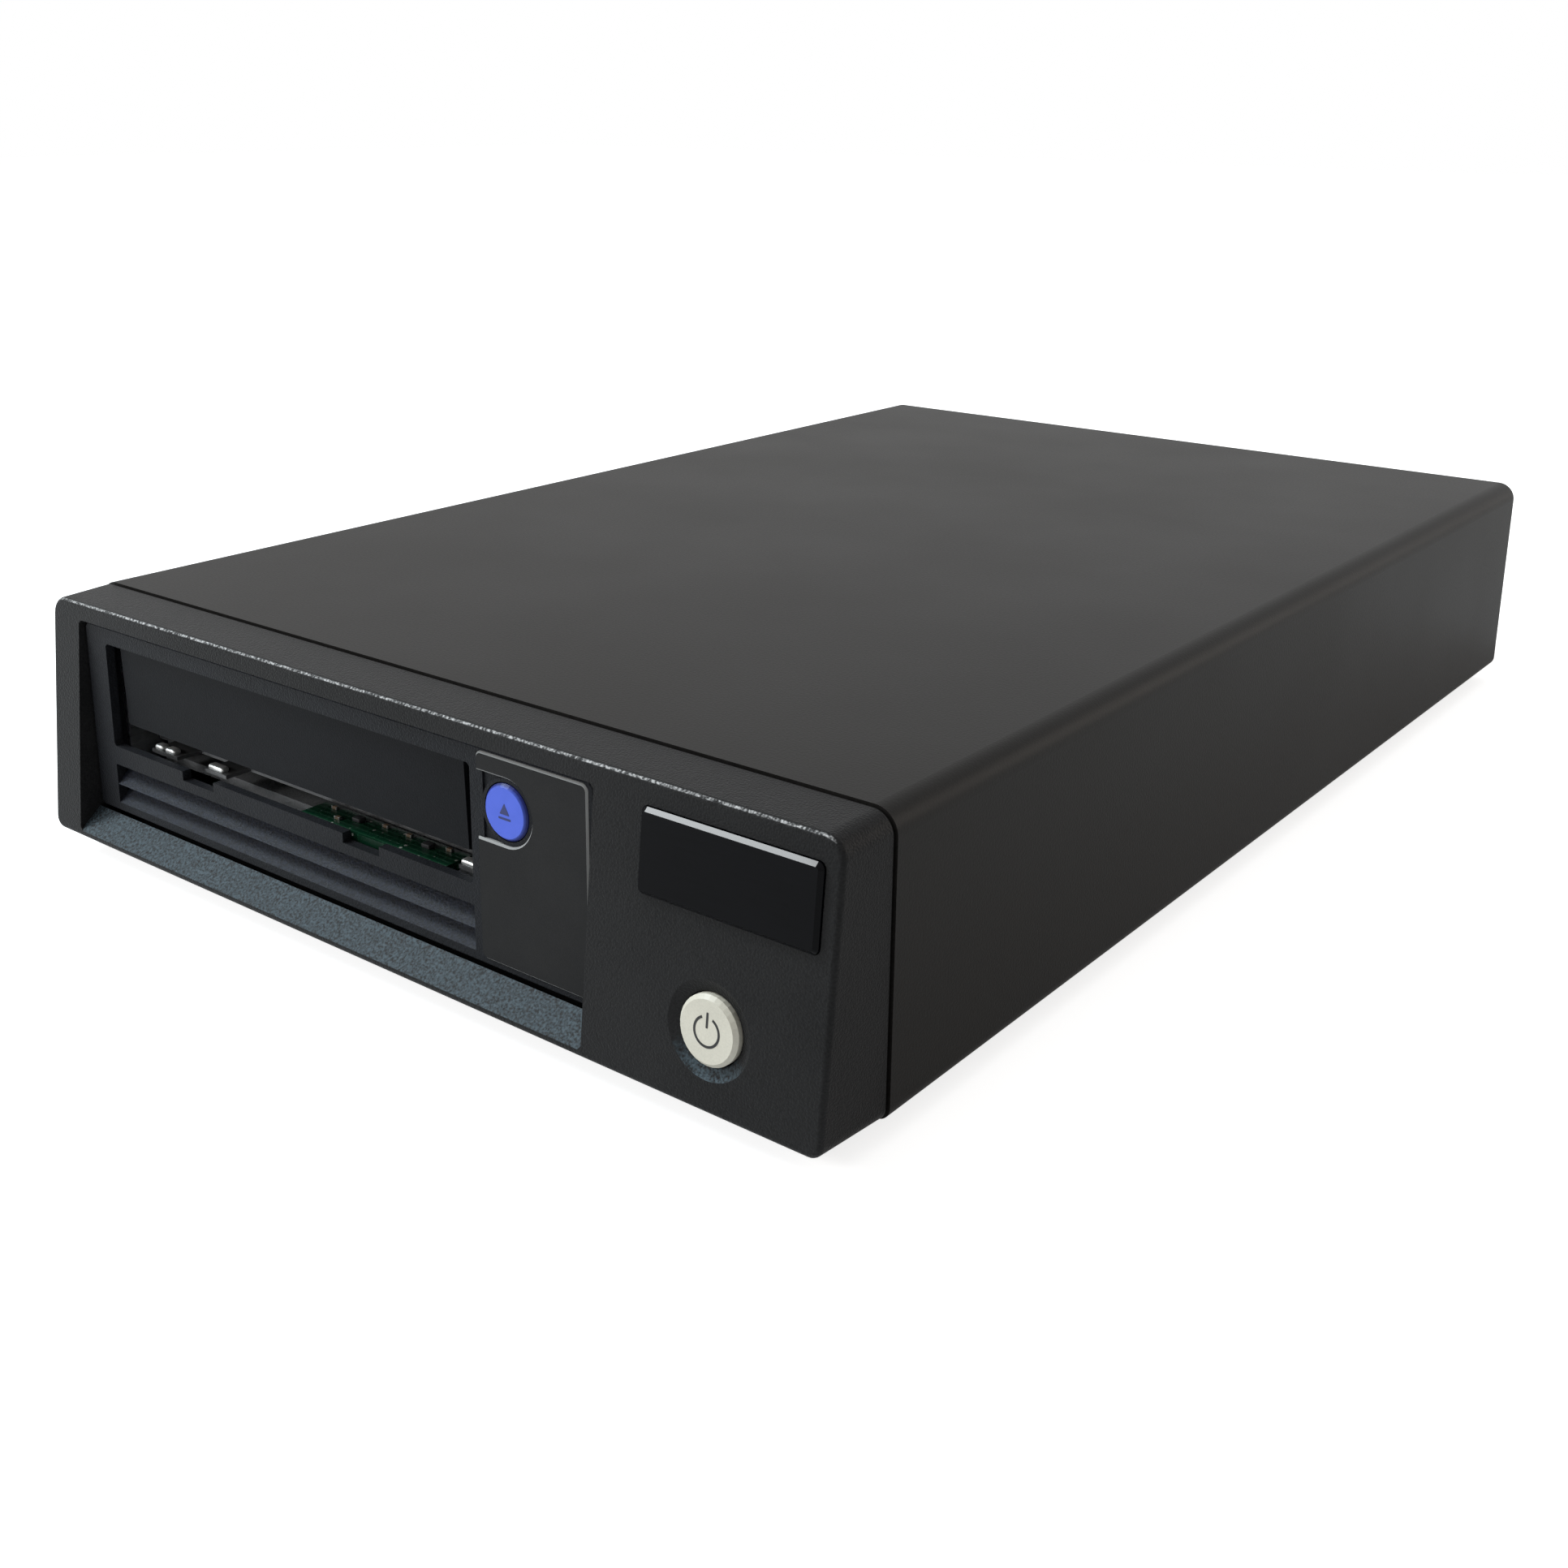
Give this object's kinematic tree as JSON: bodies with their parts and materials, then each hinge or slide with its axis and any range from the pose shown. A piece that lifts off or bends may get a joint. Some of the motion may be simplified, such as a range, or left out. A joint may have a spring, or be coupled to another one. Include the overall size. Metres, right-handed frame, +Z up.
{
  "type": "data tape drive",
  "caption": "Desktop data tape drive: black steel case, sloping moulded front with a cartridge slot and door, eject and power buttons, fan, mains inlet and data ports behind.",
  "frame": {"origin": "under the middle of the case, on the surface its feet stand on", "axes": "+X to the right of someone facing the front, +Y to the back, +Z up"},
  "size_m": [0.213, 0.3318, 0.058],
  "materials": {
    "case_paint": "satin black paint with a fine texture",
    "front_plastic": "fine-textured black moulding",
    "badge_gloss": "gloss black",
    "button_grey": "warm light grey, satin",
    "switch_plastic": "black",
    "zinc_steel": "zinc-plated sheet",
    "post_brass": "turned",
    "screw_steel": "plated",
    "foot_rubber": "matt black",
    "inlet_plastic": "black",
    "fan_plastic": "black",
    "board_green": "green solder mask",
    "transformer_yellow": "taped winding",
    "capacitor_sleeve": "dark blue sleeve",
    "sink_aluminium": "mill finish",
    "port_shell": "bright plated",
    "drive_steel": "zinc-plated sheet",
    "drive_plastic": "fine-textured black moulding",
    "cover_plastic": "satin black",
    "eject_blue": "clear blue",
    "door_plastic": "satin black",
    "pin_steel": "ground",
    "deck_aluminium": "die cast",
    "motor_steel": "plated",
    "gear_plastic": "off-white acetal",
    "reel_plastic": "dark grey",
    "roller_aluminium": "turned",
    "carrier_steel": "bright plated sheet",
    "head_black": "polished"
  },
  "bodies": {
    "case": {"top_cover": "case_paint", "base_tray": "zinc_steel", "case_screws": "screw_steel", "rubber_foot_front_left": "foot_rubber", "rubber_foot_rear_left": "foot_rubber", "rubber_foot_front_right": "foot_rubber", "rubber_foot_rear_right": "foot_rubber", "front_bezel": "front_plastic", "badge_plate": "badge_gloss", "power_switch": "switch_plastic", "rear_panel": "case_paint", "power_inlet": "inlet_plastic", "fan_frame": "fan_plastic", "fan_screws": "screw_steel", "supply_board": "board_green", "supply_transformer": "transformer_yellow", "supply_capacitors": "capacitor_sleeve", "supply_heat_sink": "sink_aluminium", "data_port_left": "port_shell", "data_port_right": "port_shell", "port_board": "board_green", "board_posts": "post_brass", "board_screws": "screw_steel", "drive_chassis": "drive_steel", "drive_lid": "drive_steel", "lid_screws": "screw_steel", "drive_bracket_left": "zinc_steel", "drive_bracket_right": "zinc_steel", "drive_screws": "screw_steel", "drive_circuit_board": "board_green", "drive_connector": "inlet_plastic", "drive_bezel": "drive_plastic", "indicator_cover": "cover_plastic", "indicator_board": "board_green", "sensor_board": "board_green", "door_pin": "pin_steel", "door_spring": "pin_steel", "loader_motor": "motor_steel", "supply_motor": "motor_steel", "take_up_motor": "motor_steel", "head_motor": "motor_steel", "threader_rail": "pin_steel", "deck_casting": "deck_aluminium"},
    "power_button": {"power_button": "button_grey"},
    "eject_button": {"eject_button": "eject_blue"},
    "cartridge_door": {"cartridge_door": "door_plastic"},
    "loading_sled": {"loading_sled": "carrier_steel"},
    "cartridge_carrier": {"cartridge_carrier": "carrier_steel"},
    "loader_gear": {"loader_gear": "gear_plastic"},
    "motor_pinion": {"motor_pinion": "gear_plastic"},
    "supply_hub": {"supply_hub": "reel_plastic"},
    "take_up_reel": {"take_up_reel": "reel_plastic"},
    "fan_rotor": {"fan_rotor": "fan_plastic"},
    "guide_roller_1": {"guide_roller_1": "roller_aluminium"},
    "guide_roller_2": {"guide_roller_2": "roller_aluminium"},
    "guide_roller_3": {"guide_roller_3": "roller_aluminium"},
    "guide_roller_4": {"guide_roller_4": "roller_aluminium"},
    "tape_head": {"tape_head": "head_black"},
    "head_screw": {"head_screw": "pin_steel"},
    "leader_grabber": {"leader_grabber": "door_plastic"}
  },
  "joints": [
    {"name": "power_button_press", "type": "slide", "parent": "case", "child": "power_button", "axis": [0, 0.9956, -0.094], "range_m": [0, 0.0015], "stiffness_N_per_m": 400, "springref_m": -0.0015},
    {"name": "eject_button_press", "type": "slide", "parent": "case", "child": "eject_button", "axis": [0, 1, 0], "range_m": [0, 0.0008], "stiffness_N_per_m": 400, "springref_m": -0.0015},
    {"name": "door_hinge", "type": "hinge", "parent": "case", "child": "cartridge_door", "pos_m": [-0.0318, -0.1571, 0.0505], "axis": [1, 0, 0], "range_deg": [0, 88], "stiffness_Nm_per_rad": 0.0005, "springref_deg": -17.19},
    {"name": "sled_slide", "type": "slide", "parent": "case", "child": "loading_sled", "axis": [0, 1, 0], "range_m": [0, 0.014]},
    {"name": "carrier_drop", "type": "slide", "parent": "loading_sled", "child": "cartridge_carrier", "axis": [0, 0, -1], "range_m": [0, 0.003]},
    {"name": "loader_gear_turn", "type": "hinge", "parent": "case", "child": "loader_gear", "pos_m": [0.03446, -0.1005, 0.0218], "axis": [0, 0, 1], "range_deg": [-167.5, 0]},
    {"name": "motor_pinion_turn", "type": "hinge", "parent": "case", "child": "motor_pinion", "pos_m": [0.04295, -0.10899, 0.0218], "axis": [0, 0, 1], "range_deg": [0, 335]},
    {"name": "supply_hub_turn", "type": "hinge", "parent": "case", "child": "supply_hub", "pos_m": [-0.0318, -0.1045, 0.0218], "axis": [0, 0, 1], "continuous": true},
    {"name": "take_up_reel_turn", "type": "hinge", "parent": "case", "child": "take_up_reel", "pos_m": [-0.0404, -0.0025, 0.0218], "axis": [0, 0, 1], "continuous": true},
    {"name": "fan_turn", "type": "hinge", "parent": "case", "child": "fan_rotor", "pos_m": [-0.074, 0.153, 0.031], "axis": [0, 1, 0], "continuous": true},
    {"name": "guide_roller_1_turn", "type": "hinge", "parent": "case", "child": "guide_roller_1", "pos_m": [0.0316, -0.0445, 0.0218], "axis": [0, 0, 1], "continuous": true},
    {"name": "guide_roller_2_turn", "type": "hinge", "parent": "case", "child": "guide_roller_2", "pos_m": [0.0406, -0.0345, 0.0218], "axis": [0, 0, 1], "continuous": true},
    {"name": "guide_roller_3_turn", "type": "hinge", "parent": "case", "child": "guide_roller_3", "pos_m": [0.0406, -0.003, 0.0218], "axis": [0, 0, 1], "continuous": true},
    {"name": "guide_roller_4_turn", "type": "hinge", "parent": "case", "child": "guide_roller_4", "pos_m": [0.0316, 0.006, 0.0218], "axis": [0, 0, 1], "continuous": true},
    {"name": "head_lift", "type": "slide", "parent": "case", "child": "tape_head", "axis": [0, 0, 1], "range_m": [-0.004, 0.004]},
    {"name": "head_screw_turn", "type": "hinge", "parent": "case", "child": "head_screw", "pos_m": [0.045, -0.0195, 0.0218], "axis": [0, 0, 1], "range_deg": [-361, 361]},
    {"name": "grabber_slide", "type": "slide", "parent": "case", "child": "leader_grabber", "axis": [0, 1, 0], "range_m": [0, 0.072]}
  ],
  "couplings": [
    {"joint": "carrier_drop", "follows": "sled_slide", "ratio": 0.21429},
    {"joint": "loader_gear_turn", "follows": "sled_slide", "rad_per_m": -208.33},
    {"joint": "motor_pinion_turn", "follows": "sled_slide", "rad_per_m": 416.67},
    {"joint": "head_screw_turn", "follows": "head_lift", "rad_per_m": 1570.8}
  ]
}
